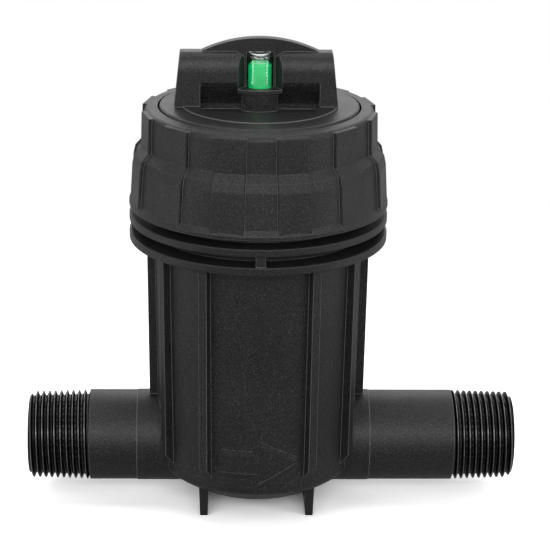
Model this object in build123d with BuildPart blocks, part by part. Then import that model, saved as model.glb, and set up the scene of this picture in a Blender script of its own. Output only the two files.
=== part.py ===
"""Inline basket filter with a sight indicator, for a one-inch irrigation pipe.

Millimetres. Z is up along the bowl's axis and z = 0 is the plane of the feet.
The pipe run lies along X: water enters at -X and leaves at +X. -Y is the front.
"""
import os
from math import cos, radians, sin, sqrt

from build123d import *

# Pipe run
pipe_axis_height = 24.0
pipe_radius = 16.7
pipe_root_step = 0.2
inlet_root_reach = 44.0
outlet_root_reach = 41.5
port_bore_radius = 12.5
port_bore_foot = 47.0
water_way_radius = 12.0
inlet_reach = 84.0
outlet_reach = 95.1
thread_length = 22.5
thread_depth = 1.77
thread_taper = 1 / 32
thread_lead_in = 1.2

# Bowl
dome_low_height = 3.0
dome_radius = 56.0
bowl_corner_radius = 3.5
wall_foot_radius = 36.0
wall_top_radius = 37.4
wall_thickness = 3.2
flange_height = 102.3

# Ribs and feet
rib_count = 12
ribs_left_out = (3, 9)
rib_thickness = 3.2
rib_foot_height = 20.5
rib_foot_radius = 39.3
rib_top_radius = 40.2
rib_foot_slope = 4.0
fin_spacing = 38.7
fin_root_thickness = 3.6
fin_foot_thickness = 2.85
fin_length = 40.0
fin_root_height = 11.0
fin_foot_round = 0.4

# Flanges and neck
neck_radius = 38.5
neck_wall = 4.5
neck_rise = 28.0
flange_width = 7.9
lower_flange_thickness = 3.1
flange_gap = 3.8
upper_flange_thickness = 2.8
flange_edge_round = 0.4
gusset_count = 4
gusset_thickness = 3.4
gusset_inset = 0.8

# Inlet elbow in the bowl
elbow_wall = 3.5
socket_top_height = 47.0
outlet_elbow_clearance = 2.5

# Lock collar
collar_gap = 3.2
collar_height = 35.4
collar_lip_thickness = 3.0
collar_lip_overlap = 2.3
collar_clearance = 0.35
collar_overhang = 0.05
collar_top_corner = 2.2
collar_top_fall = 0.5
recess_count = 12
recess_depth = 1.25
recess_run_out = 1.8
pad_angle = 15.2
lower_tier_height = 16.0
lower_tier_taper = 0.95
shoulder_height = 3.2
shoulder_drop = 0.7
tier_slope_height = 2.7
tier_step = 2.4
upper_tier_taper = 0.3
pad_edge_round = 0.5
pad_top_inset = 0.9
pad_root_depth = 1.5
collar_rim_height = 1.2

# Cap
cap_flange_inset = 0.3
cap_running_gap = 0.3
cap_rim_clearance = 0.6
cap_rim_round = 1.0
cap_face_height = 151.7
cap_face_radius = 27.8
cap_face_step = 0.3
cap_edge_drop = 0.5
cap_plate_thickness = 3.9
cap_plate_lift = 1.0
spigot_clearance = 0.3
spigot_wall = 3.2
spigot_depth = 7.5

# Finger pockets beside the grip
pocket_reach = 15.6
pocket_side_reach = 12.6
pocket_half_width = 19.3
pocket_root_half_width = 21.1
pocket_floor_height = 149.8

# Grip, with its heights above the cap's face
grip_height = 18.8
grip_foot_half_length = 28.9
grip_top_half_length = 26.9
grip_corner_radius = 1.2
grip_foot_half_width = 6.2
grip_shoulder_half_width = 6.0
grip_shoulder_height = 11.8
grip_crown_half_width = 1.7
grip_offset = 1.3
scoop_foot_half_width = 1.9
scoop_top_height = 10.3
web_thickness = 3.4
web_arch_radius = 47.0
web_rise = 4.9
notch_half_width = 8.4
notch_root_half_width = 5.5
notch_slope_drop = 1.8

# Indicator post and lens, with the heights of the ledge and the green band above the cap's face
post_half_width = 6.3
post_side_reach = 4.6
post_reach = 6.5
ledge_half_width = 7.7
ledge_side_reach = 6.1
ledge_reach = 7.8
ledge_height = 6.1
ledge_thickness = 1.2
lens_radius = 4.95
lens_wall = 0.7
lens_dome_round = 2.4
lens_flange_radius = 5.4
lens_flange_thickness = 2.0
lens_fit = 0.1
lens_seal_section = 1.1
lens_retainer_thickness = 2.0
lens_retainer_bore_radius = 2.4

# Indicator mechanism
boss_radius = 12.75
boss_depth = 10.0
boss_shoulder_radius = 16.5
chamber_radius = 8.0
chamber_headroom = 1.4
indicator_travel = 3.0
indicator_end_gap = 0.3
indicator_clearance = 0.15
green_height = 9.6
green_top_height = 14.7
green_chamfer = 1.0
red_height = 3.0
stem_radius = 1.7
stem_pin_step = 0.3
piston_thickness = 3.4
piston_clearance = 0.3
piston_seal_section = 1.4
piston_seal_clearance = 0.1
retainer_flange_radius = 11.0
retainer_flange_thickness = 1.6
retainer_spigot_height = 2.5
retainer_port_radius = 2.5
spring_radius = 3.7
spring_wire_radius = 0.35
spring_turns = 5.5

# Basket
basket_radius = 27.2
basket_collar_wall = 2.3
basket_collar_clearance = 0.3
basket_top_thickness = 2.4
basket_collar_depth = 11.0
basket_bottom_thickness = 4.4
basket_bottom_lift = 1.5
socket_clearance = 0.3
cage_thickness = 1.6
cage_rib_count = 8
cage_rib_width = 2.4
cage_hoop_count = 3
cage_hoop_width = 1.8
screen_thickness = 0.5

# Seals
seal_clearance = 0.15
cap_seal_section = 3.2
boss_seal_section = 2.0
socket_seal_section = 1.8
groove_slack = 0.1

# How far a piece runs into the wall it grows from, and how far a cut runs past the face it opens
root_embed = 1.0
cut_margin = 1.0

# Heights and radii that follow
lower_flange_top = flange_height + lower_flange_thickness
upper_flange_foot = lower_flange_top + flange_gap
upper_flange_top = upper_flange_foot + upper_flange_thickness
neck_top = upper_flange_top + neck_rise
neck_bore_radius = neck_radius - neck_wall
flange_radius = neck_radius + flange_width
collar_foot = upper_flange_top + collar_gap
collar_top = collar_foot + collar_height
collar_lip_foot = collar_top - collar_lip_thickness
collar_bore_radius = neck_radius + collar_clearance
collar_lip_radius = neck_radius - collar_lip_overlap
cap_flange_top = collar_lip_foot - cap_running_gap
cap_flange_radius = neck_radius - cap_flange_inset
cap_rim_radius = collar_lip_radius - cap_rim_clearance
cap_plate_foot = neck_top + cap_plate_lift
spigot_radius = neck_bore_radius - spigot_clearance
elbow_radius = water_way_radius + elbow_wall
boss_foot = cap_plate_foot - boss_depth
piston_foot = boss_foot + retainer_spigot_height
piston_top = piston_foot + piston_thickness
chamber_ceiling = piston_top + indicator_travel + chamber_headroom
grip_top = cap_face_height + grip_height
grip_shoulder = cap_face_height + grip_shoulder_height
scoop_top = cap_face_height + scoop_top_height
ledge_top = cap_face_height + ledge_height
green_top = cap_face_height + green_top_height
lens_top_height = green_top + indicator_travel + indicator_end_gap + lens_wall
dome_centre_height = dome_low_height + dome_radius


def dome_height(radius):
    """Height of the dome's outer face at a radius from the axis."""
    return dome_centre_height - sqrt(dome_radius**2 - radius**2)


def ring_section(outer_radius, section, height):
    """The round section of an O-ring, by its outer radius, its thickness and its mid height."""
    with Locations((outer_radius - section / 2, height)):
        Circle(section / 2)


def groove_section(mouth_radius, outer_radius, section, height, mode=Mode.ADD):
    """The section of the groove that holds an O-ring in the outside of a turned face."""
    root_radius = outer_radius - section
    with Locations(((mouth_radius + root_radius) / 2, height)):
        Rectangle(mouth_radius - root_radius, section + 2 * groove_slack, mode=mode)


def bulged_section(half_width, side_reach, reach):
    """A block's section with flat sides and a curved front and back."""
    with BuildLine() as outline:
        front = ThreePointArc((-half_width, -side_reach), (0, -reach), (half_width, -side_reach))
        back = ThreePointArc((half_width, side_reach), (0, reach), (-half_width, side_reach))
        Line(front @ 1, back @ 0)
        Line(back @ 1, front @ 0)
    make_face(outline.edges())


# Housing
wall_inner_foot = wall_foot_radius - wall_thickness
wall_inner_top = wall_top_radius - wall_thickness
inner_dome_radius = dome_radius - wall_thickness
inner_edge_height = dome_centre_height - sqrt(inner_dome_radius**2 - wall_inner_foot**2)

with BuildPart() as housing:
    # Bowl, dome, flanges and neck in one turned profile
    with BuildSketch(Plane.XZ):
        with BuildLine():
            Polyline(
                (wall_foot_radius, dome_height(wall_foot_radius)),
                (wall_top_radius, flange_height),
                (flange_radius, flange_height),
                (flange_radius, lower_flange_top),
                (neck_radius, lower_flange_top),
                (neck_radius, upper_flange_foot),
                (flange_radius, upper_flange_foot),
                (flange_radius, upper_flange_top),
                (neck_radius, upper_flange_top),
                (neck_radius, neck_top),
                (0, neck_top),
                (0, dome_low_height),
            )
            RadiusArc((0, dome_low_height), (wall_foot_radius, dome_height(wall_foot_radius)), -dome_radius)
        make_face()
        fillet(vertices().group_by(Axis.Y)[1], bowl_corner_radius)
        fillet(vertices().group_by(Axis.X)[-1], flange_edge_round)
    revolve(axis=Axis.Z)

    # Pipe run, a touch wider beside the bowl, with the taper at each end that carries the thread
    with BuildSketch(Plane.YZ.offset(-inlet_reach + thread_length)):
        with Locations((0, pipe_axis_height)):
            Circle(pipe_radius)
    extrude(amount=inlet_reach + outlet_reach - 2 * thread_length)
    with BuildSketch(Plane.YZ.offset(-inlet_root_reach)):
        with Locations((0, pipe_axis_height)):
            Circle(pipe_radius + pipe_root_step)
    extrude(amount=inlet_root_reach + outlet_root_reach)
    for reach, side in ((inlet_reach, -1), (outlet_reach, 1)):
        root_radius = pipe_radius - thread_depth
        end_radius = root_radius - thread_length * thread_taper
        with BuildSketch(Plane.XZ):
            with BuildLine():
                Polyline(
                    (side * (reach - thread_length), pipe_axis_height),
                    (side * (reach - thread_length), pipe_axis_height + root_radius),
                    (side * (reach - thread_lead_in), pipe_axis_height + end_radius),
                    (side * reach, pipe_axis_height + end_radius - thread_lead_in / 2),
                    (side * reach, pipe_axis_height),
                    close=True,
                )
            make_face()
        revolve(axis=Axis((0, 0, pipe_axis_height), (1, 0, 0)))

    # Radial ribs down the bowl, with none at the front and the back
    for step in range(rib_count):
        if step in ribs_left_out:
            continue
        angle = radians(step * 360 / rib_count)
        rib_plane = Plane(origin=(0, 0, 0), x_dir=(cos(angle), sin(angle), 0), z_dir=(sin(angle), -cos(angle), 0))
        with BuildSketch(rib_plane):
            with BuildLine():
                Polyline(
                    (wall_inner_foot, rib_foot_height),
                    (wall_foot_radius, rib_foot_height),
                    (rib_foot_radius, rib_foot_height + rib_foot_slope),
                    (rib_top_radius, flange_height),
                    (wall_inner_foot, flange_height),
                    close=True,
                )
            make_face()
        extrude(amount=rib_thickness / 2, both=True)

    # Gussets between the two flanges
    gusset_root = neck_radius - root_embed
    gusset_reach = flange_radius - gusset_inset
    with BuildSketch(Plane.XY.offset(lower_flange_top)):
        with PolarLocations((gusset_root + gusset_reach) / 2, gusset_count):
            Rectangle(gusset_reach - gusset_root, gusset_thickness)
    extrude(amount=flange_gap)

    # Feet: two fins under the dome
    with BuildSketch(Plane.XZ):
        for side in (-1, 1):
            with BuildLine():
                Polyline(
                    (side * fin_spacing / 2 - fin_foot_thickness / 2, 0),
                    (side * fin_spacing / 2 - fin_root_thickness / 2, fin_root_height),
                    (side * fin_spacing / 2 + fin_root_thickness / 2, fin_root_height),
                    (side * fin_spacing / 2 + fin_foot_thickness / 2, 0),
                    close=True,
                )
            make_face()
        fillet(vertices().group_by(Axis.Y)[0], fin_foot_round)
    extrude(amount=fin_length / 2, both=True)

    # Inside of the bowl and bore of the neck
    with BuildSketch(Plane.XZ):
        with BuildLine():
            Polyline(
                (wall_inner_foot, inner_edge_height),
                (wall_inner_top, flange_height),
                (neck_bore_radius, upper_flange_top),
                (neck_bore_radius, neck_top),
                (0, neck_top),
                (0, dome_low_height + wall_thickness),
            )
            RadiusArc(
                (0, dome_low_height + wall_thickness), (wall_inner_foot, inner_edge_height), -inner_dome_radius
            )
        make_face()
    revolve(axis=Axis.Z, mode=Mode.SUBTRACT)

    # Inlet elbow, which turns the water up into the basket
    with BuildSketch(Plane.YZ.offset(-wall_inner_foot - root_embed)):
        with Locations((0, pipe_axis_height)):
            Circle(elbow_radius)
    extrude(amount=wall_inner_foot + root_embed)
    with BuildSketch(Plane.XY.offset(pipe_axis_height)):
        Circle(elbow_radius)
    extrude(amount=socket_top_height - pipe_axis_height)
    with Locations((0, 0, pipe_axis_height)):
        Sphere(elbow_radius)

    # Water ways, with the wider bore of each port
    with BuildSketch(Plane.YZ.offset(-inlet_reach)):
        with Locations((0, pipe_axis_height)):
            Circle(water_way_radius)
    extrude(amount=inlet_reach, mode=Mode.SUBTRACT)
    with BuildSketch(Plane.XY.offset(pipe_axis_height)):
        Circle(water_way_radius)
    extrude(amount=socket_top_height - pipe_axis_height, mode=Mode.SUBTRACT)
    with Locations((0, 0, pipe_axis_height)):
        Sphere(water_way_radius, mode=Mode.SUBTRACT)
    with BuildSketch(Plane.YZ.offset(elbow_radius + outlet_elbow_clearance)):
        with Locations((0, pipe_axis_height)):
            Circle(water_way_radius)
    extrude(amount=outlet_reach, mode=Mode.SUBTRACT)
    for reach, side in ((inlet_reach, -1), (outlet_reach, 1)):
        with BuildSketch(Plane.YZ.offset(side * port_bore_foot)):
            with Locations((0, pipe_axis_height)):
                Circle(port_bore_radius)
        extrude(amount=side * (reach - port_bore_foot), mode=Mode.SUBTRACT)

# Lock collar
tier_heights = (
    collar_foot,
    collar_foot + lower_tier_height,
    collar_foot + lower_tier_height + shoulder_height,
    collar_foot + lower_tier_height + shoulder_height + tier_slope_height,
    collar_top - pad_top_inset,
)
lower_tier_foot_radius = flange_radius + collar_overhang
lower_tier_top_radius = lower_tier_foot_radius - lower_tier_taper
shoulder_radius = lower_tier_top_radius - shoulder_drop
upper_tier_foot_radius = shoulder_radius - tier_step
upper_tier_top_radius = upper_tier_foot_radius - upper_tier_taper
tier_radii = (
    lower_tier_foot_radius,
    lower_tier_top_radius,
    shoulder_radius,
    upper_tier_foot_radius,
    upper_tier_top_radius,
)
recess_floor_radii = [radius - recess_depth for radius in tier_radii]
pad_half_angle = radians(pad_angle / 2)
pad_root_radius = recess_floor_radii[-1] - pad_root_depth

with BuildPart() as collar_pad:
    # One pad, with a flat face on each tier and rounded edges
    for height, radius in zip(tier_heights, tier_radii):
        flat = radius * cos(pad_half_angle)
        chord = 2 * radius * sin(pad_half_angle)
        with BuildSketch(Plane.XY.offset(height)):
            with Locations(((pad_root_radius + flat) / 2, 0)):
                Rectangle(flat - pad_root_radius, chord)
    loft(ruled=True)
    outer_edges = collar_pad.edges().filter_by(lambda edge: edge.center().X > recess_floor_radii[-1])
    side_edges = outer_edges.filter_by(Axis.Y, reverse=True)
    top_edge = outer_edges.sort_by(Axis.Z)[-1]
    fillet(side_edges + [top_edge], pad_edge_round)

with BuildPart() as lock_collar:
    # Round wall with the floors of the recesses, the rim at its foot and the lip over the cap's flange
    with BuildSketch(Plane.XZ):
        with BuildLine():
            Polyline(
                (collar_bore_radius, collar_foot),
                (lower_tier_foot_radius, collar_foot),
                (lower_tier_foot_radius, collar_foot + collar_rim_height),
                (recess_floor_radii[0], collar_foot + collar_rim_height + recess_run_out),
                (recess_floor_radii[1], tier_heights[1]),
                (recess_floor_radii[2], tier_heights[2]),
                (recess_floor_radii[3], tier_heights[3]),
                (recess_floor_radii[4], collar_top - collar_top_fall),
                (collar_lip_radius, collar_top),
                (collar_lip_radius, collar_lip_foot),
                (collar_bore_radius, collar_lip_foot),
                close=True,
            )
        make_face()
        fillet(vertices().group_by(Axis.Y)[-2], collar_top_corner)
    revolve(axis=Axis.Z)
    with PolarLocations(0, recess_count, start_angle=180 / recess_count):
        add(collar_pad.part)

# Cap
lens_bore_radius = lens_flange_radius + lens_fit
ledge_foot = ledge_top - ledge_thickness
web_top_height = grip_top + web_rise
cap_plate_underside = cap_face_height - cap_plate_thickness
cap_edge_height = cap_face_height - cap_edge_drop
grip_crown_width = grip_shoulder_half_width - grip_crown_half_width
grip_crown_rise = grip_top - grip_shoulder

with BuildPart() as grip_ears:
    # The ears' outline seen from the front, trimmed to the section of a rounded bar
    with BuildSketch(Plane.XZ):
        with BuildLine():
            Polyline(
                (-grip_foot_half_length - grip_offset, cap_plate_underside),
                (-grip_foot_half_length - grip_offset, cap_face_height),
                (-grip_top_half_length - grip_offset, grip_top),
                (grip_top_half_length - grip_offset, grip_top),
                (grip_foot_half_length - grip_offset, cap_face_height),
                (grip_foot_half_length - grip_offset, cap_plate_underside),
                close=True,
            )
        make_face()
        fillet(vertices().group_by(Axis.Y)[-1], grip_corner_radius)
    extrude(amount=grip_foot_half_width, both=True)
    with BuildSketch(Plane.YZ):
        with BuildLine():
            Polyline(
                (grip_shoulder_half_width, grip_shoulder),
                (grip_foot_half_width, cap_face_height),
                (grip_foot_half_width, cap_plate_underside),
                (-grip_foot_half_width, cap_plate_underside),
                (-grip_foot_half_width, cap_face_height),
                (-grip_shoulder_half_width, grip_shoulder),
            )
            Line((-grip_crown_half_width, grip_top), (grip_crown_half_width, grip_top))
            EllipticalCenterArc(
                (grip_crown_half_width, grip_shoulder), grip_crown_width, grip_crown_rise,
                start_angle=0, arc_size=90,
            )
            EllipticalCenterArc(
                (-grip_crown_half_width, grip_shoulder), grip_crown_width, grip_crown_rise,
                start_angle=90, arc_size=90,
            )
        make_face()
    extrude(amount=grip_foot_half_length + grip_offset, both=True, mode=Mode.INTERSECT)

with BuildPart() as grip_scoop:
    # Hollow under one side of the grip, which runs out smoothly at its top
    with BuildSketch(Plane.YZ):
        with BuildLine():
            foot_point = (scoop_foot_half_width, pocket_floor_height)
            top_point = (grip_foot_half_width, scoop_top)
            Spline(foot_point, top_point, tangents=((0, 1), (0, 1)))
            Polyline(
                top_point,
                (grip_foot_half_width + cut_margin, scoop_top),
                (grip_foot_half_width + cut_margin, pocket_floor_height),
                foot_point,
            )
        make_face()
    extrude(amount=pocket_root_half_width, both=True)

with BuildPart() as cap:
    with BuildSketch(Plane.XZ):
        with BuildLine():
            Polyline(
                (0, boss_foot),
                (boss_radius, boss_foot),
                (boss_radius, cap_plate_foot),
                (boss_shoulder_radius, cap_plate_foot),
                (boss_shoulder_radius, cap_plate_underside),
                (spigot_radius - spigot_wall, cap_plate_underside),
                (spigot_radius - spigot_wall, neck_top - spigot_depth),
                (spigot_radius, neck_top - spigot_depth),
                (spigot_radius, neck_top),
                (cap_flange_radius, neck_top),
                (cap_flange_radius, cap_flange_top),
                (cap_rim_radius, cap_flange_top),
                (cap_rim_radius, cap_edge_height),
                (cap_face_radius, cap_face_height - cap_face_step),
                (cap_face_radius, cap_face_height),
                (0, cap_face_height),
                close=True,
            )
        make_face()
        fillet(vertices().group_by(Axis.Y)[-3], cap_rim_round)
    revolve(axis=Axis.Z)
    add(grip_ears.part)

    # Arch-topped web between the ears
    arch_centre = web_top_height - web_arch_radius
    arch_half = sqrt(web_arch_radius**2 - (grip_top - arch_centre) ** 2)
    with BuildSketch(Plane.XZ):
        with BuildLine():
            crest = RadiusArc((-arch_half, grip_top), (arch_half, grip_top), web_arch_radius)
            Polyline(crest @ 1, (arch_half, cap_face_height), (-arch_half, cap_face_height), crest @ 0)
        make_face()
    extrude(amount=web_thickness / 2, both=True)

    # Finger pockets, and the scoops that run into them
    for face in (-1, 1):
        with BuildSketch(Plane.XY.offset(pocket_floor_height)):
            with BuildLine():
                ThreePointArc(
                    (-pocket_half_width, face * pocket_side_reach),
                    (0, face * pocket_reach),
                    (pocket_half_width, face * pocket_side_reach),
                )
                Polyline(
                    (pocket_half_width, face * pocket_side_reach),
                    (pocket_root_half_width, face * grip_foot_half_width),
                    (pocket_root_half_width, face * scoop_foot_half_width),
                    (-pocket_root_half_width, face * scoop_foot_half_width),
                    (-pocket_root_half_width, face * grip_foot_half_width),
                    (-pocket_half_width, face * pocket_side_reach),
                )
            make_face()
        extrude(amount=cap_face_height - pocket_floor_height, mode=Mode.SUBTRACT)
    add(grip_scoop.part, mode=Mode.SUBTRACT)
    mirror(grip_scoop.part, about=Plane.XZ, mode=Mode.SUBTRACT)

    # Flared notch in the front that shows the lens
    with BuildSketch(Plane.XY.offset(ledge_top)):
        with BuildLine():
            Polyline(
                (-notch_half_width, -grip_foot_half_width - cut_margin),
                (notch_half_width, -grip_foot_half_width - cut_margin),
                (notch_root_half_width, -web_thickness / 2),
                (-notch_root_half_width, -web_thickness / 2),
                close=True,
            )
        make_face()
    extrude(amount=grip_top - ledge_top, mode=Mode.SUBTRACT)

    # Edges of the notch that fall from the ears' tops towards the lens
    with BuildSketch(Plane.XZ.offset(web_thickness / 2)):
        with BuildLine():
            Polyline(
                (-notch_half_width, grip_top),
                (-notch_root_half_width, grip_top - notch_slope_drop),
                (notch_root_half_width, grip_top - notch_slope_drop),
                (notch_half_width, grip_top),
                close=True,
            )
        make_face()
    extrude(amount=grip_foot_half_width, mode=Mode.SUBTRACT)

    # Indicator post with its ledge, and the bore that holds the lens
    with BuildSketch(Plane.XY.offset(pocket_floor_height)):
        bulged_section(post_half_width, post_side_reach, post_reach)
    extrude(amount=ledge_foot - pocket_floor_height)
    with BuildSketch(Plane.XY.offset(ledge_foot)):
        bulged_section(ledge_half_width, ledge_side_reach, ledge_reach)
    extrude(amount=ledge_thickness)
    with BuildSketch(Plane.XY.offset(ledge_top)):
        Circle(lens_radius + lens_fit)
    extrude(amount=lens_top_height + lens_fit - ledge_top, mode=Mode.SUBTRACT)

    # Bore for the lens, the spring and the piston
    with BuildSketch(Plane.XY.offset(ledge_foot)):
        Circle(lens_radius + lens_fit)
    extrude(amount=ledge_thickness, mode=Mode.SUBTRACT)
    with BuildSketch(Plane.XY.offset(chamber_ceiling)):
        Circle(lens_bore_radius)
    extrude(amount=ledge_foot - chamber_ceiling, mode=Mode.SUBTRACT)
    with BuildSketch(Plane.XY.offset(boss_foot)):
        Circle(chamber_radius)
    extrude(amount=chamber_ceiling - boss_foot, mode=Mode.SUBTRACT)

    # Grooves of the cap seal and of the boss seal
    cap_seal_height = neck_top - spigot_depth / 2
    boss_seal_height = boss_foot + boss_depth / 2
    cap_seal_radius = neck_bore_radius - seal_clearance
    basket_collar_bore = boss_radius + basket_collar_clearance
    boss_seal_radius = basket_collar_bore
    with BuildSketch(Plane.XZ):
        groove_section(spigot_radius, cap_seal_radius, cap_seal_section, cap_seal_height)
        groove_section(boss_radius, boss_seal_radius, boss_seal_section, boss_seal_height)
    revolve(axis=Axis.Z, mode=Mode.SUBTRACT)

with BuildPart() as cap_seal:
    with BuildSketch(Plane.XZ):
        ring_section(cap_seal_radius, cap_seal_section, cap_seal_height)
    revolve(axis=Axis.Z)

with BuildPart() as basket_seal:
    with BuildSketch(Plane.XZ):
        ring_section(boss_seal_radius, boss_seal_section, boss_seal_height)
    revolve(axis=Axis.Z)

# Lens, its seal and its retainer
lens_foot = ledge_foot - lens_flange_thickness
lens_inner_radius = lens_radius - lens_wall
lens_inner_round = lens_dome_round - lens_wall

with BuildPart() as lens_hollow:
    with BuildSketch(Plane.XY.offset(lens_foot)):
        Circle(lens_inner_radius)
    extrude(amount=lens_top_height - lens_wall - lens_foot)
    fillet(lens_hollow.edges().group_by(Axis.Z)[-1], lens_inner_round)

with BuildPart() as indicator_lens:
    with BuildSketch(Plane.XY.offset(lens_foot)):
        Circle(lens_flange_radius)
    extrude(amount=lens_flange_thickness)
    with BuildSketch(Plane.XY.offset(ledge_foot)):
        Circle(lens_radius)
    extrude(amount=lens_top_height - ledge_foot)
    fillet(indicator_lens.edges().group_by(Axis.Z)[-1], lens_dome_round)
    add(lens_hollow.part, mode=Mode.SUBTRACT)

lens_seal_height = lens_foot - lens_seal_section / 2
lens_piston_foot = lens_foot - lens_seal_section
lens_retainer_foot = lens_piston_foot - lens_retainer_thickness

with BuildPart() as lens_seal:
    with BuildSketch(Plane.XZ):
        ring_section(lens_bore_radius, lens_seal_section, lens_seal_height)
    revolve(axis=Axis.Z)

with BuildPart() as lens_retainer:
    with BuildSketch(Plane.XY.offset(lens_retainer_foot)):
        Circle(lens_bore_radius)
        Circle(lens_retainer_bore_radius, mode=Mode.SUBTRACT)
    extrude(amount=lens_retainer_thickness)

# Indicator: green band, red stem with its piston, seal, spring and retainer
green_foot = green_top - green_height
red_foot = green_foot - red_height
band_radius = lens_inner_radius - indicator_clearance
pin_radius = stem_radius - stem_pin_step
piston_radius = chamber_radius - piston_clearance

with BuildPart() as indicator_green_band:
    with BuildSketch(Plane.XY.offset(green_foot)):
        Circle(band_radius)
    extrude(amount=green_height)
    chamfer(indicator_green_band.edges().group_by(Axis.Z)[-1], green_chamfer)
    with BuildSketch(Plane.XY.offset(green_foot)):
        Circle(pin_radius)
    extrude(amount=green_height / 2, mode=Mode.SUBTRACT)

piston_seal_height = piston_foot + piston_thickness / 2
piston_seal_radius = chamber_radius - piston_seal_clearance

with BuildPart() as indicator_stem:
    with BuildSketch(Plane.XZ):
        with BuildLine():
            Polyline(
                (0, piston_foot),
                (piston_radius, piston_foot),
                (piston_radius, piston_top),
                (stem_radius, piston_top),
                (stem_radius, red_foot),
                (band_radius, red_foot),
                (band_radius, green_foot),
                (pin_radius, green_foot),
                (pin_radius, green_foot + green_height / 2),
                (0, green_foot + green_height / 2),
                close=True,
            )
        make_face()
        groove_section(
            piston_radius, piston_seal_radius, piston_seal_section, piston_seal_height, mode=Mode.SUBTRACT
        )
    revolve(axis=Axis.Z)

with BuildPart() as piston_seal:
    with BuildSketch(Plane.XZ):
        ring_section(piston_seal_radius, piston_seal_section, piston_seal_height)
    revolve(axis=Axis.Z)

spring_length = lens_retainer_foot - piston_top
with BuildPart() as indicator_spring:
    with BuildLine():
        coil = Helix(
            pitch=(spring_length - 2 * spring_wire_radius) / spring_turns,
            height=spring_length - 2 * spring_wire_radius,
            radius=spring_radius,
            center=(0, 0, piston_top + spring_wire_radius),
        )
    with BuildSketch(Plane(origin=coil @ 0, z_dir=coil % 0)):
        Circle(spring_wire_radius)
    sweep(is_frenet=True)

with BuildPart() as indicator_retainer:
    with BuildSketch(Plane.XY.offset(boss_foot - retainer_flange_thickness)):
        Circle(retainer_flange_radius)
    extrude(amount=retainer_flange_thickness)
    with BuildSketch(Plane.XY.offset(boss_foot)):
        Circle(chamber_radius - lens_fit)
    extrude(amount=retainer_spigot_height)
    Hole(retainer_port_radius)

# Basket
basket_top = cap_plate_foot - basket_collar_depth + basket_top_thickness
basket_plate_foot = basket_top - basket_top_thickness
basket_foot = pipe_axis_height + elbow_radius + basket_bottom_lift
basket_floor_top = basket_foot + basket_bottom_thickness
basket_collar_radius = basket_collar_bore + basket_collar_wall
socket_bore_radius = elbow_radius + socket_clearance
screen_radius = basket_radius - cage_thickness
screen_height = basket_plate_foot - basket_floor_top
socket_seal_height = basket_foot + basket_bottom_thickness / 2
socket_seal_inner = elbow_radius + seal_clearance
socket_seal_radius = socket_seal_inner + socket_seal_section

with BuildPart() as basket_frame:
    with BuildSketch(Plane.XZ):
        with BuildLine():
            Polyline(
                (basket_collar_bore, basket_plate_foot),
                (basket_radius, basket_plate_foot),
                (basket_radius, basket_top),
                (basket_collar_radius, basket_top),
                (basket_collar_radius, cap_plate_foot),
                (basket_collar_bore, cap_plate_foot),
                close=True,
            )
        make_face()
        with Locations(((socket_bore_radius + basket_radius) / 2, socket_seal_height)):
            Rectangle(basket_radius - socket_bore_radius, basket_bottom_thickness)
        groove_centre = (socket_bore_radius + socket_seal_radius) / 2
        with Locations((groove_centre, socket_seal_height)):
            Rectangle(socket_seal_radius - socket_bore_radius, socket_seal_section + 2 * groove_slack,
                      mode=Mode.SUBTRACT)
    revolve(axis=Axis.Z)
    with BuildSketch(Plane.XY.offset(basket_floor_top)):
        with PolarLocations(basket_radius - cage_thickness / 2, cage_rib_count):
            Rectangle(cage_thickness, cage_rib_width)
    extrude(amount=screen_height)
    for hoop in range(1, cage_hoop_count + 1):
        hoop_height = basket_floor_top + screen_height * hoop / (cage_hoop_count + 1)
        with BuildSketch(Plane.XY.offset(hoop_height - cage_hoop_width / 2)):
            Circle(basket_radius)
            Circle(screen_radius, mode=Mode.SUBTRACT)
        extrude(amount=cage_hoop_width)

with BuildPart() as basket_screen:
    with BuildSketch(Plane.XY.offset(basket_floor_top)):
        Circle(screen_radius)
        Circle(screen_radius - screen_thickness, mode=Mode.SUBTRACT)
    extrude(amount=screen_height)

with BuildPart() as socket_seal:
    with BuildSketch(Plane.XZ):
        ring_section(socket_seal_radius, socket_seal_section, socket_seal_height)
    revolve(axis=Axis.Z)

# Write every piece
os.makedirs("parts", exist_ok=True)
housing.part.label = "housing"
export_step(housing.part, "parts/housing.step")
lock_collar.part.label = "lock_collar"
export_step(lock_collar.part, "parts/lock_collar.step")
cap.part.label = "cap"
export_step(cap.part, "parts/cap.step")
cap_seal.part.label = "cap_seal"
export_step(cap_seal.part, "parts/cap_seal.step")
indicator_lens.part.label = "indicator_lens"
export_step(indicator_lens.part, "parts/indicator_lens.step")
lens_seal.part.label = "lens_seal"
export_step(lens_seal.part, "parts/lens_seal.step")
lens_retainer.part.label = "lens_retainer"
export_step(lens_retainer.part, "parts/lens_retainer.step")
indicator_green_band.part.label = "indicator_green_band"
export_step(indicator_green_band.part, "parts/indicator_green_band.step")
indicator_stem.part.label = "indicator_stem"
export_step(indicator_stem.part, "parts/indicator_stem.step")
piston_seal.part.label = "piston_seal"
export_step(piston_seal.part, "parts/piston_seal.step")
indicator_spring.part.label = "indicator_spring"
export_step(indicator_spring.part, "parts/indicator_spring.step")
indicator_retainer.part.label = "indicator_retainer"
export_step(indicator_retainer.part, "parts/indicator_retainer.step")
basket_frame.part.label = "basket_frame"
export_step(basket_frame.part, "parts/basket_frame.step")
basket_screen.part.label = "basket_screen"
export_step(basket_screen.part, "parts/basket_screen.step")
basket_seal.part.label = "basket_seal"
export_step(basket_seal.part, "parts/basket_seal.step")
socket_seal.part.label = "socket_seal"
export_step(socket_seal.part, "parts/socket_seal.step")
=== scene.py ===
"""Looks of the inline basket filter: finishes, pipe threads, flow arrow, studio and camera."""
from math import cos, pi, radians, sin
import bmesh
import bpy
from mathutils import Matrix, Vector


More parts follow.
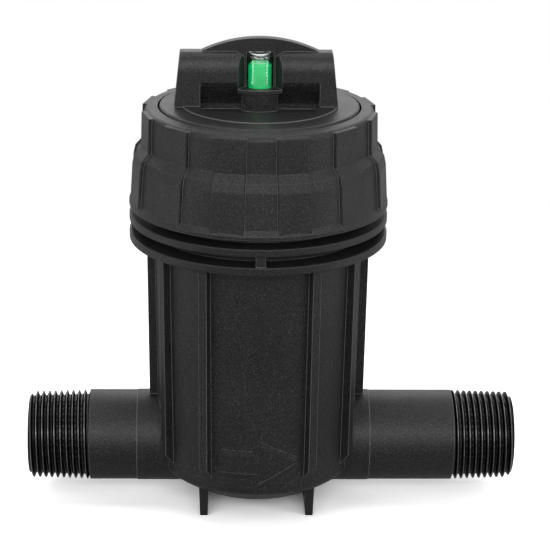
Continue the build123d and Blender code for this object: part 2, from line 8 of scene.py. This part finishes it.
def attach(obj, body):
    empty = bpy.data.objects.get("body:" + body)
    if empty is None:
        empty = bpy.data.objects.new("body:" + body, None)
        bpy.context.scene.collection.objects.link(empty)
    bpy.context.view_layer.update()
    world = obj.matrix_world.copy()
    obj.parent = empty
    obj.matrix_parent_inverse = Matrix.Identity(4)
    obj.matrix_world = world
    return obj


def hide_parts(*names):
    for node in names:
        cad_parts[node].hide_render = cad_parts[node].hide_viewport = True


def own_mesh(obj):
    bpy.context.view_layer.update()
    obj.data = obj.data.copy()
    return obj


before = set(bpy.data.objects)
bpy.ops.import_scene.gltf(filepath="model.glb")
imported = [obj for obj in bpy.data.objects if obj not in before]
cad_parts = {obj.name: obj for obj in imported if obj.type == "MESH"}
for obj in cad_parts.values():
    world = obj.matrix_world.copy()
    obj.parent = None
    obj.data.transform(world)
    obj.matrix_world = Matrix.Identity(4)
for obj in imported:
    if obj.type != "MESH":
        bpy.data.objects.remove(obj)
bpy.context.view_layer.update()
MM = 0.001

# Pipe run, as in the solids
pipe_height = 24.0 * MM
inlet_end = -84.0 * MM
outlet_end = 95.1 * MM
thread_length = 22.5 * MM
thread_taper = 1 / 32

# One-inch taper pipe thread
thread_pitch = 25.4 / 11.5 * MM
thread_depth = 1.72 * MM
thread_crest_radius = 16.62 * MM
thread_lead_in = 1.3 * MM
crest_share = 0.12
root_share = 0.12
steps_per_turn = 72
thread_start_turn = 1.5
thread_spare_turns = 3
merge_distance = 1e-7

# Bowl wall, as in the solids
wall_foot_radius = 36.0 * MM
wall_top_radius = 37.4 * MM
wall_foot_height = 16.1 * MM
wall_top_height = 102.3 * MM

# Flow arrow
arrow_height = 27.2 * MM
arrow_tail = -13.45 * MM
arrow_neck = 0.0 * MM
arrow_tip = 14.05 * MM
arrow_shaft_half = 3.4 * MM
arrow_head_half = 7.35 * MM
arrow_line_ramp = 2.2 * MM
arrow_line_step = 0.24 * MM
arrow_line_lift = 0.24 * MM
arrow_line_root = -0.02 * MM
arrow_line_segment = 0.8 * MM

# Painted edge highlight on the black mouldings: base colour lighter where the rounded normal turns from the
# flat one, by their cosine
edge_turn_least = 0.985
edge_turn_most = 0.80
edge_highlight_most = 0.8
edge_highlight_grey = 0.17

# Floor: brightness to the camera and to other rays, a painted shadow patch in front that only other rays
# see, and where it goes white
floor_seen = 1.4
floor_light = 0.50
floor_painted_shade = 0.15
painted_shade_centre = (0, -0.42, 0)
painted_shade_radius = 0.12
painted_shade_fade_radius = 0.42
floor_shadow_radius = 0.13
floor_white_radius = 0.40
floor_size = 12


def new_material(name):
    """An empty node material with its principled shader."""
    material = bpy.data.materials.new(name)
    material.use_nodes = True
    nodes = material.node_tree.nodes
    return material, nodes, material.node_tree.links, nodes["Principled BSDF"]


def noise(nodes, links, scale, detail, coords):
    """A noise texture in the object's own coordinates."""
    texture = nodes.new("ShaderNodeTexNoise")
    texture.inputs["Scale"].default_value = scale
    texture.inputs["Detail"].default_value = detail
    links.new(coords.outputs["Object"], texture.inputs["Vector"])
    return texture


def ramp(nodes, links, source, stops):
    """A colour ramp on a texture's value."""
    node = nodes.new("ShaderNodeValToRGB")
    links.new(source, node.inputs["Fac"])
    elements = node.color_ramp.elements
    elements[0].position, elements[0].color = stops[0]
    elements[1].position, elements[1].color = stops[-1]
    for position, color in stops[1:-1]:
        elements.new(position).color = color
    return node


def grey(value, tint=(1.0, 1.0, 1.0)):
    """An opaque near-grey colour."""
    return (value * tint[0], value * tint[1], value * tint[2], 1.0)


def map_range(nodes, links, source, low, high):
    """A texture's value brought between two numbers."""
    node = nodes.new("ShaderNodeMapRange")
    node.inputs["To Min"].default_value = low
    node.inputs["To Max"].default_value = high
    links.new(source, node.inputs["Value"])
    return node


def bumped(nodes, links, shader, height, strength, depth, base=None):
    """Gives a shader a bump of a depth, on top of another normal where there is one."""
    bump = nodes.new("ShaderNodeBump")
    bump.inputs["Strength"].default_value = strength
    bump.inputs["Distance"].default_value = depth
    if base:
        links.new(base, bump.inputs["Normal"])
    links.new(height, bump.inputs["Height"])
    links.new(bump.outputs["Normal"], shader.inputs["Normal"])


def painted_edge_highlight(nodes, links, edge):
    """Share of painted edge highlight, from how far the rounded normal turns from the flat one: 0 on a face,
    the set most on a sharp edge.
    """
    surface = nodes.new("ShaderNodeNewGeometry")
    turn = nodes.new("ShaderNodeVectorMath")
    turn.operation = "DOT_PRODUCT"
    links.new(edge.outputs["Normal"], turn.inputs[0])
    links.new(surface.outputs["Normal"], turn.inputs[1])
    highlight_share = nodes.new("ShaderNodeMapRange")
    highlight_share.inputs["From Min"].default_value = edge_turn_least
    highlight_share.inputs["From Max"].default_value = edge_turn_most
    highlight_share.inputs["To Max"].default_value = edge_highlight_most
    links.new(turn.outputs["Value"], highlight_share.inputs["Value"])
    return highlight_share


def moulded_plastic(name, shade, roughness, grain_scale, grain_depth, specular=0.23, edge_round=0.35 * MM):
    """Black glass-filled moulding: cloudy tone, fine sandy grain, uneven gloss, and a painted highlight that
    makes its edges lighter.
    """
    material, nodes, links, shader = new_material(name)
    coords = nodes.new("ShaderNodeTexCoord")
    cloud = noise(nodes, links, 38, 4, coords)
    tone = ramp(nodes, links, cloud.outputs["Fac"],
                [(0.30, grey(shade * 0.82, (1, 1, 1.02))), (0.70, grey(shade * 1.22, (1, 1, 1.02)))])
    speck = noise(nodes, links, 2300, 2, coords)
    sparkle = ramp(nodes, links, speck.outputs["Fac"],
                   [(0.42, grey(0.35)), (0.56, grey(1.0)), (0.72, grey(3.4))])
    mixed = nodes.new("ShaderNodeMix")
    mixed.data_type = "RGBA"
    mixed.blend_type = "MULTIPLY"
    mixed.inputs["Factor"].default_value = 1.0
    links.new(tone.outputs["Color"], mixed.inputs["A"])
    links.new(sparkle.outputs["Color"], mixed.inputs["B"])
    gloss = noise(nodes, links, 120, 3, coords)
    spread = map_range(nodes, links, gloss.outputs["Fac"], roughness - 0.07, roughness + 0.09)
    links.new(spread.outputs["Result"], shader.inputs["Roughness"])
    grain = noise(nodes, links, grain_scale, 4, coords)
    grain.inputs["Roughness"].default_value = 0.75
    edge = nodes.new("ShaderNodeBevel")
    edge.samples = 8
    edge.inputs["Radius"].default_value = edge_round
    highlight_share = painted_edge_highlight(nodes, links, edge)
    # Painted highlight: the base colour goes light grey along edges, in place of light caught by their
    # rounding
    highlighted = nodes.new("ShaderNodeMix")
    highlighted.data_type = "RGBA"
    highlighted.inputs["B"].default_value = grey(edge_highlight_grey)
    links.new(highlight_share.outputs["Result"], highlighted.inputs["Factor"])
    links.new(mixed.outputs["Result"], highlighted.inputs["A"])
    links.new(highlighted.outputs["Result"], shader.inputs["Base Color"])
    bumped(nodes, links, shader, grain.outputs["Fac"], 1.0, grain_depth, edge.outputs["Normal"])
    shader.inputs["Specular IOR Level"].default_value = specular
    return material


def clear_plastic(name):
    """Clear moulded lens with faint scuffs."""
    material, nodes, links, shader = new_material(name)
    coords = nodes.new("ShaderNodeTexCoord")
    scuff = noise(nodes, links, 260, 4, coords)
    spread = map_range(nodes, links, scuff.outputs["Fac"], 0.0, 0.10)
    links.new(spread.outputs["Result"], shader.inputs["Roughness"])
    shader.inputs["Base Color"].default_value = (0.97, 0.99, 0.98, 1)
    shader.inputs["Transmission Weight"].default_value = 1.0
    shader.inputs["IOR"].default_value = 1.46
    return material


def self_lit_plastic(name, color, dark):
    """Glossy coloured plastic of the indicator bands, which glows in its own colour as painted light."""
    material, nodes, links, shader = new_material(name)
    coords = nodes.new("ShaderNodeTexCoord")
    cloud = noise(nodes, links, 240, 3, coords)
    tone = ramp(nodes, links, cloud.outputs["Fac"], [(0.25, (*dark, 1)), (0.75, (*color, 1))])
    links.new(tone.outputs["Color"], shader.inputs["Base Color"])
    grain = noise(nodes, links, 1500, 2, coords)
    bumped(nodes, links, shader, grain.outputs["Fac"], 0.15, 0.05 * MM)
    shader.inputs["Roughness"].default_value = 0.28
    # Painted light: the plastic emits its own colour, though there is no lamp in it
    links.new(tone.outputs["Color"], shader.inputs["Emission Color"])
    shader.inputs["Emission Strength"].default_value = 0.45
    return material


def seal_rubber(name):
    """Black nitrile with a dull, slightly bloomed skin."""
    material, nodes, links, shader = new_material(name)
    coords = nodes.new("ShaderNodeTexCoord")
    bloom = noise(nodes, links, 180, 5, coords)
    tone = ramp(nodes, links, bloom.outputs["Fac"], [(0.3, grey(0.012)), (0.75, grey(0.035))])
    links.new(tone.outputs["Color"], shader.inputs["Base Color"])
    spread = map_range(nodes, links, bloom.outputs["Fac"], 0.55, 0.8)
    links.new(spread.outputs["Result"], shader.inputs["Roughness"])
    return material


def stainless(name, roughness):
    """Drawn stainless wire or sheet with fine streaks."""
    material, nodes, links, shader = new_material(name)
    coords = nodes.new("ShaderNodeTexCoord")
    streak = noise(nodes, links, 420, 4, coords)
    tone = ramp(nodes, links, streak.outputs["Fac"], [(0.3, grey(0.46)), (0.7, grey(0.66, (1, 0.99, 0.97)))])
    links.new(tone.outputs["Color"], shader.inputs["Base Color"])
    spread = map_range(nodes, links, streak.outputs["Fac"], roughness - 0.08, roughness + 0.08)
    links.new(spread.outputs["Result"], shader.inputs["Roughness"])
    shader.inputs["Metallic"].default_value = 1.0
    return material


def woven_screen(name, wires_round, wire_spacing):
    """Stainless gauze: crossing wires round the tube and along it."""
    material, nodes, links, shader = new_material(name)
    coords = nodes.new("ShaderNodeTexCoord")
    split = nodes.new("ShaderNodeSeparateXYZ")
    links.new(coords.outputs["Object"], split.inputs["Vector"])
    angle = nodes.new("ShaderNodeMath")
    angle.operation = "ARCTAN2"
    links.new(split.outputs["Y"], angle.inputs[0])
    links.new(split.outputs["X"], angle.inputs[1])
    waves = []
    for source, rate in ((angle.outputs["Value"], wires_round), (split.outputs["Z"], 2 * pi / wire_spacing)):
        scaled = nodes.new("ShaderNodeMath")
        scaled.operation = "MULTIPLY"
        scaled.inputs[1].default_value = rate
        links.new(source, scaled.inputs[0])
        wave = nodes.new("ShaderNodeMath")
        wave.operation = "SINE"
        links.new(scaled.outputs["Value"], wave.inputs[0])
        waves.append(wave)
    weave = nodes.new("ShaderNodeMath")
    weave.operation = "MAXIMUM"
    links.new(waves[0].outputs["Value"], weave.inputs[0])
    links.new(waves[1].outputs["Value"], weave.inputs[1])
    level = nodes.new("ShaderNodeMapRange")
    level.inputs["From Min"].default_value = -1.0
    links.new(weave.outputs["Value"], level.inputs["Value"])
    tone = ramp(nodes, links, level.outputs["Result"], [(0.25, grey(0.03)), (0.6, grey(0.55))])
    links.new(tone.outputs["Color"], shader.inputs["Base Color"])
    bumped(nodes, links, shader, level.outputs["Result"], 0.8, 0.1 * MM)
    shader.inputs["Metallic"].default_value = 0.9
    shader.inputs["Roughness"].default_value = 0.38
    return material


def dress(node, material):
    """Gives a CAD node its material."""
    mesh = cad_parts[node].data
    mesh.materials.clear()
    mesh.materials.append(material)


def mesh_piece(name, bm, materials, body, smooth_angle=35):
    """Turns a bmesh into a piece that rides on a body."""
    mesh = bpy.data.meshes.new(name)
    bm.to_mesh(mesh)
    bm.free()
    piece = bpy.data.objects.new(name, mesh)
    bpy.context.scene.collection.objects.link(piece)
    for material in materials:
        mesh.materials.append(material)
    mesh.shade_smooth()
    mesh.set_sharp_from_angle(angle=radians(smooth_angle))
    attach(piece, body)
    return piece


def pipe_thread(name, end, side, flank, crest_highlight):
    """A right-handed taper thread from the pipe's open end to its shoulder; its crests take the lighter
    material, a painted highlight.
    """
    profile = [
        (0.0, 0.0),
        (root_share, 0.0),
        (0.5 - crest_share / 2, 1.0),
        (0.5 + crest_share / 2, 1.0),
        (1.0 - root_share, 0.0),
        (1.0, 0.0),
    ]
    turns = int(thread_length / thread_pitch) + thread_spare_turns
    bm = bmesh.new()
    rows = []
    for step in range(turns * steps_per_turn + 1):
        turn = step / steps_per_turn
        angle = -side * 2 * pi * turn
        row = []
        for share, lift in profile:
            run = (turn + share - thread_start_turn) * thread_pitch
            run = min(max(run, 0.0), thread_length)
            crest = thread_crest_radius - (thread_length - run) * thread_taper
            radius = crest - thread_depth + thread_depth * lift
            lead = crest - thread_depth + run / thread_lead_in * thread_depth
            radius = min(radius, lead)
            point = (end - side * run, radius * cos(angle), pipe_height + radius * sin(angle))
            row.append(bm.verts.new(point))
        rows.append(row)
    crest_face = 2
    for first, second in zip(rows, rows[1:]):
        for i in range(len(profile) - 1):
            face = bm.faces.new((first[i], first[i + 1], second[i + 1], second[i]))
            face.material_index = 1 if i == crest_face else 0
    bmesh.ops.remove_doubles(bm, verts=bm.verts, dist=merge_distance)
    bmesh.ops.recalc_face_normals(bm, faces=bm.faces)
    return mesh_piece(name, bm, (flank, crest_highlight), "housing", smooth_angle=40)


def wall_radius(height):
    """Radius of the bowl's wall at a height."""
    share = (height - wall_foot_height) / (wall_top_height - wall_foot_height)
    return wall_foot_radius + share * (wall_top_radius - wall_foot_radius)


def flow_arrow(name, material):
    """An arrow that shows the direction of flow, its edges steep inside and run out on the outside."""
    outline = [
        (arrow_tail, -arrow_shaft_half),
        (arrow_neck, -arrow_shaft_half),
        (arrow_neck, -arrow_head_half),
        (arrow_tip, 0.0),
        (arrow_neck, arrow_head_half),
        (arrow_neck, arrow_shaft_half),
        (arrow_tail, arrow_shaft_half),
    ]
    bm = bmesh.new()
    section = [
        (-arrow_line_ramp, arrow_line_root),
        (0.0, arrow_line_lift),
        (arrow_line_step, arrow_line_root),
    ]
    for start, end in zip(outline, outline[1:] + outline[:1]):
        run = Vector(end) - Vector(start)
        along = run.normalized()
        across = Vector((-along.y, along.x))
        pieces = max(2, int(run.length / arrow_line_segment))
        rows = []
        for step in range(pieces + 1):
            base = Vector(start) + run * (step / pieces)
            row = []
            for offset, lift in section:
                point = base + across * offset
                height = arrow_height + point.y
                radius = wall_radius(height) + lift
                angle = point.x / wall_radius(height)
                row.append(bm.verts.new((radius * sin(angle), -radius * cos(angle), height)))
            rows.append(row)
        for first, second in zip(rows, rows[1:]):
            for i in range(len(section)):
                j = (i + 1) % len(section)
                bm.faces.new((first[i], first[j], second[j], second[i]))
        bm.faces.new(rows[0])
        bm.faces.new(rows[-1])
    bmesh.ops.recalc_face_normals(bm, faces=bm.faces)
    return mesh_piece(name, bm, (material,), "housing", smooth_angle=30)


def return_spring(name, node, material):
    """The piston's spring, as in the solids: a copy with its own mesh that rides on the cap unit, in place
    of the hidden CAD node.
    """
    piece = bpy.data.objects.new(name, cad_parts[node].data.copy())
    bpy.context.scene.collection.objects.link(piece)
    piece.data.materials.clear()
    piece.data.materials.append(material)
    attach(piece, "cap_unit")
    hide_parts(node)
    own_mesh(piece)


def area_light(name, place, aim, size, power):
    """A soft studio panel that faces a point."""
    data = bpy.data.lights.new(name, "AREA")
    data.shape = "RECTANGLE"
    data.size, data.size_y = size
    data.energy = power
    light = bpy.data.objects.new(name, data)
    bpy.context.scene.collection.objects.link(light)
    light.location = place
    light.rotation_euler = (Vector(aim) - Vector(place)).to_track_quat("-Z", "Y").to_euler()


def studio_floor():
    """A plain floor that keeps the object's shadow and goes white away from it, with painted shade in front
    that only rays other than the camera's see.
    """
    material, nodes, links, shader = new_material("studio_floor")
    nodes.remove(shader)
    coords = nodes.new("ShaderNodeTexCoord")
    speckle = noise(nodes, links, 4, 2, coords)
    tone = ramp(nodes, links, speckle.outputs["Fac"], [(0.2, grey(0.98)), (0.8, grey(1.0))])
    # Painted shade: to rays other than the camera's, the floor darkens near a point in front of the object,
    # in place of shade on the camera's side
    spread = nodes.new("ShaderNodeVectorMath")
    spread.operation = "DISTANCE"
    spread.inputs[1].default_value = painted_shade_centre
    links.new(coords.outputs["Object"], spread.inputs[0])
    painted_shade = nodes.new("ShaderNodeMapRange")
    painted_shade.inputs["From Min"].default_value = painted_shade_radius
    painted_shade.inputs["From Max"].default_value = painted_shade_fade_radius
    painted_shade.inputs["To Min"].default_value = floor_painted_shade
    painted_shade.inputs["To Max"].default_value = floor_light
    links.new(spread.outputs["Value"], painted_shade.inputs["Value"])
    path = nodes.new("ShaderNodeLightPath")
    gain = nodes.new("ShaderNodeMix")
    gain.inputs["B"].default_value = floor_seen
    links.new(path.outputs["Is Camera Ray"], gain.inputs["Factor"])
    links.new(painted_shade.outputs["Result"], gain.inputs["A"])
    lit = nodes.new("ShaderNodeVectorMath")
    lit.operation = "SCALE"
    links.new(tone.outputs["Color"], lit.inputs[0])
    links.new(gain.outputs["Result"], lit.inputs["Scale"])
    diffuse = nodes.new("ShaderNodeBsdfDiffuse")
    links.new(lit.outputs["Vector"], diffuse.inputs["Color"])
    far = nodes.new("ShaderNodeVectorMath")
    far.operation = "LENGTH"
    links.new(coords.outputs["Object"], far.inputs[0])
    away = nodes.new("ShaderNodeMapRange")
    away.inputs["From Min"].default_value = floor_shadow_radius
    away.inputs["From Max"].default_value = floor_white_radius
    links.new(far.outputs["Value"], away.inputs["Value"])
    share = nodes.new("ShaderNodeMath")
    share.operation = "MULTIPLY"
    links.new(away.outputs["Result"], share.inputs[0])
    links.new(path.outputs["Is Camera Ray"], share.inputs[1])
    glow = nodes.new("ShaderNodeEmission")
    blend = nodes.new("ShaderNodeMixShader")
    links.new(share.outputs["Value"], blend.inputs["Fac"])
    links.new(diffuse.outputs["BSDF"], blend.inputs[1])
    links.new(glow.outputs["Emission"], blend.inputs[2])
    links.new(blend.outputs["Shader"], nodes["Material Output"].inputs["Surface"])
    bpy.ops.mesh.primitive_plane_add(size=floor_size, location=(0, 0, 0))
    floor = bpy.context.object
    floor.name = "studio_floor"
    floor.data.materials.append(material)


def studio_world(strength):
    """White to the camera, in gloss and through glass; softer light on the object."""
    world = bpy.data.worlds.new("studio")
    bpy.context.scene.world = world
    world.use_nodes = True
    nodes, links = world.node_tree.nodes, world.node_tree.links
    back = nodes["Background"]
    back.inputs["Color"].default_value = (1, 1, 1, 1)
    path = nodes.new("ShaderNodeLightPath")
    level = nodes.new("ShaderNodeValue").outputs["Value"]
    level.default_value = strength
    for ray in ("Is Camera Ray", "Is Glossy Ray", "Is Transmission Ray"):
        seen = nodes.new("ShaderNodeMath")
        seen.operation = "MAXIMUM"
        links.new(path.outputs[ray], seen.inputs[0])
        links.new(level, seen.inputs[1])
        level = seen.outputs["Value"]
    links.new(level, back.inputs["Strength"])


# Finishes
fine_edge = 0.04 * MM
housing_black = moulded_plastic("housing_black", 0.009, 0.40, 1700, 0.14 * MM)
collar_black = moulded_plastic("collar_black", 0.009, 0.40, 1600, 0.14 * MM)
cap_black = moulded_plastic("cap_black", 0.010, 0.40, 1400, 0.10 * MM)
# Painted light on the threads: the flanks are a darker copy of the black plastic (painted shade), and the
# crests a lighter one (painted highlight)
thread_flank_shaded = moulded_plastic("thread_flank_shaded", 0.0015, 0.30, 900, 0.02 * MM, 0.06, fine_edge)
thread_crest_highlit = moulded_plastic("thread_crest_highlit", 0.045, 0.30, 900, 0.02 * MM, 0.70, fine_edge)
arrow_black = moulded_plastic("arrow_black", 0.009, 0.42, 1700, 0.11 * MM, edge_round=fine_edge)
inner_black = moulded_plastic("inner_black", 0.045, 0.5, 1200, 0.05 * MM)
rubber = seal_rubber("nitrile")
lens_clear = clear_plastic("lens_clear")
green = self_lit_plastic("indicator_green", (0.0, 0.42, 0.12), (0.0, 0.34, 0.09))
red = self_lit_plastic("indicator_red", (0.62, 0.015, 0.015), (0.5, 0.01, 0.01))
spring_steel = stainless("spring_steel", 0.3)
gauze = woven_screen("gauze", 160, 1.0 * MM)

dress("housing", housing_black)
dress("lock_collar", collar_black)
dress("cap", cap_black)
for node in ("cap_seal", "lens_seal", "piston_seal", "basket_seal", "socket_seal"):
    dress(node, rubber)
for node in ("lens_retainer", "indicator_retainer", "basket_frame"):
    dress(node, inner_black)
dress("indicator_lens", lens_clear)
dress("indicator_green_band", green)
dress("indicator_stem", red)
dress("basket_screen", gauze)

# Threads, arrow and spring
pipe_thread("inlet_thread", inlet_end, -1, thread_flank_shaded, thread_crest_highlit)
pipe_thread("outlet_thread", outlet_end, 1, thread_flank_shaded, thread_crest_highlit)
flow_arrow("flow_arrow", arrow_black)
return_spring("return_spring", "indicator_spring", spring_steel)

# Studio
world_strength = 0.34
target = (0, 0, 0.09)
low_target = (0, 0, 0.16)
studio_floor()
studio_world(world_strength)
area_light("key_panel", (-0.8, -0.8, 0.85), target, (0.6, 0.7), 5)
area_light("side_panel", (1.0, -0.6, 0.7), target, (0.4, 0.9), 5)
area_light("front_panel", (0.0, -1.25, 0.62), target, (1.3, 0.4), 13)
area_light("top_panel", (0.0, 0.0, 1.5), target, (1.4, 0.9), 10)
area_light("rear_panel", (0.0, 1.1, 0.8), target, (1.4, 0.4), 5)
area_light("low_left_panel", (-0.50, -0.12, 0.03), low_target, (0.30, 0.06), 0.35)
area_light("low_right_panel", (0.50, -0.12, 0.03), low_target, (0.30, 0.06), 0.30)

# Camera at the photograph's angle
image_side = 550
focal_pixels = 2180
camera_distance = 0.750
camera_height = 0.3480
camera_side = 0.0063
camera_pitch = radians(19.19)
object_yaw = radians(-1.8)
camera_roll = radians(0.78)
camera_data = bpy.data.cameras.new("photo_camera")
camera = bpy.data.objects.new("photo_camera", camera_data)
bpy.context.scene.collection.objects.link(camera)
camera_data.sensor_width = 36
camera_data.lens = focal_pixels / image_side * camera_data.sensor_width
camera.location = (
    camera_side * cos(object_yaw) + camera_distance * sin(object_yaw),
    camera_side * sin(object_yaw) - camera_distance * cos(object_yaw),
    camera_height,
)
aim = Matrix.Rotation(object_yaw, 3, "Z") @ Matrix.Rotation(pi / 2 - camera_pitch, 3, "X")
camera.rotation_euler = (aim @ Matrix.Rotation(camera_roll, 3, "Z")).to_euler()
bpy.context.scene.camera = camera
bpy.context.scene.view_settings.view_transform = "Standard"
